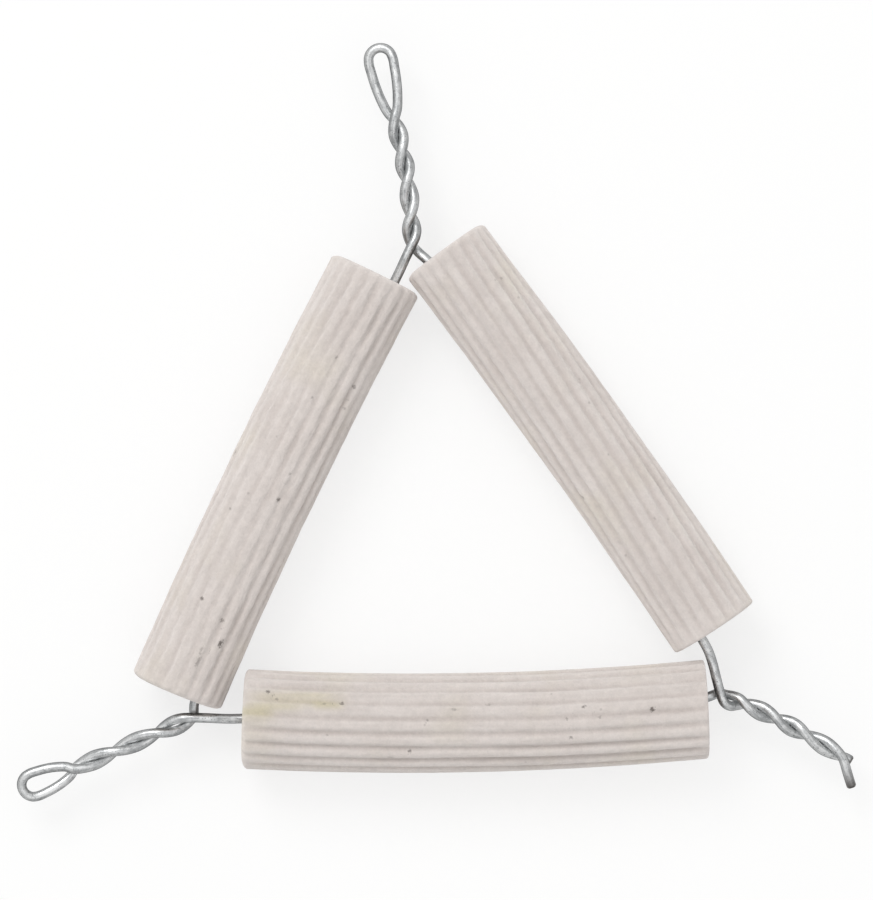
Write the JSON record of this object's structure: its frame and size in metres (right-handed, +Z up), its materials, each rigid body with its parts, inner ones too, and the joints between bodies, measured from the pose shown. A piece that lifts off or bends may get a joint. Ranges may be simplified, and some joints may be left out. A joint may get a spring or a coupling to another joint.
{
  "type": "pipe clay triangle",
  "caption": "Clay sleeves threaded on a twisted steel wire triangle that holds a crucible over a burner on a tripod or ring.",
  "frame": {"origin": "centre of the triangular opening, on the flat surface that the triangle lies on", "axes": "+Z up, square to the triangle; +Y towards the top stem; +X to the right, along the bottom sleeve"},
  "size_m": [0.0901, 0.0814, 0.0108],
  "materials": {
    "clay": "unglazed fired pipe clay, matt, ribbed",
    "wire": "galvanised, dull, slightly streaked"
  },
  "bodies": {
    "wire": {"wire_frame": "wire"},
    "left_sleeve": {"left_sleeve": "clay"},
    "right_sleeve": {"right_sleeve": "clay"},
    "bottom_sleeve": {"bottom_sleeve": "clay"}
  },
  "joints": [
    {"name": "left_sleeve_spin", "type": "hinge", "parent": "wire", "child": "left_sleeve", "pos_m": [-0.01768, 0.00636, 0.00515], "axis": [0.4321, 0.9018, 0], "continuous": true},
    {"name": "right_sleeve_spin", "type": "hinge", "parent": "wire", "child": "right_sleeve", "pos_m": [0.01488, 0.01115, 0.00508], "axis": [-0.5821, 0.8131, 0], "continuous": true},
    {"name": "bottom_sleeve_spin", "type": "hinge", "parent": "wire", "child": "bottom_sleeve", "pos_m": [0.00358, -0.01827, 0.00538], "axis": [0.9998, 0.0209, 0], "continuous": true}
  ]
}
